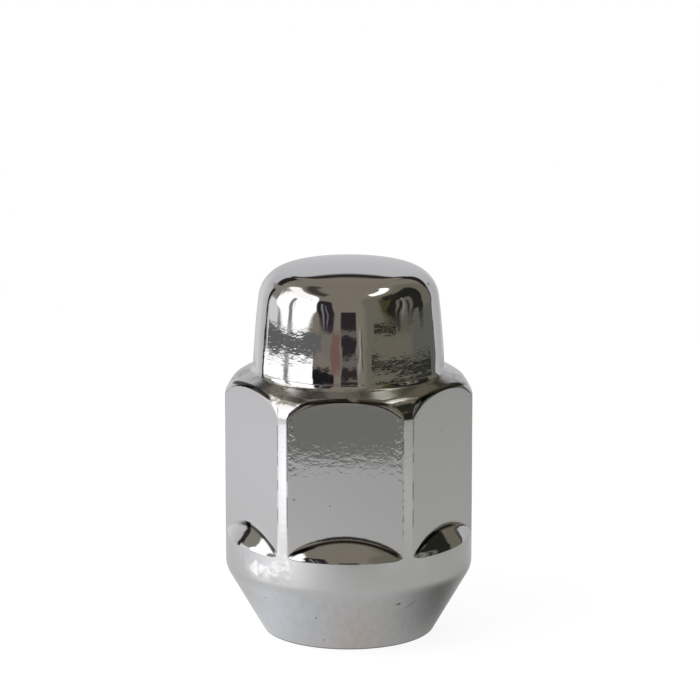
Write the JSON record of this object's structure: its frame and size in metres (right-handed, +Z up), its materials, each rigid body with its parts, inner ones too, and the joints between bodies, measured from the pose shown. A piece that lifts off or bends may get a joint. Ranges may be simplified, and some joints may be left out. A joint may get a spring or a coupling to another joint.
{
  "type": "lug nut",
  "caption": "Closed-end acorn lug nut in chrome-plated steel, with a hex, a bulge collar and a conical seat, that screws onto a wheel stud.",
  "frame": {"origin": "centre of the open end, where the seat's small end meets the surface that the nut stands on", "axes": "+Z up the stud axis to the domed end; -Y square to the wrench flat that faces the front"},
  "size_m": [0.0214, 0.0214, 0.0325],
  "materials": {
    "chrome": "polished"
  },
  "bodies": {
    "root": {"lug_nut": "chrome"}
  },
  "joints": []
}
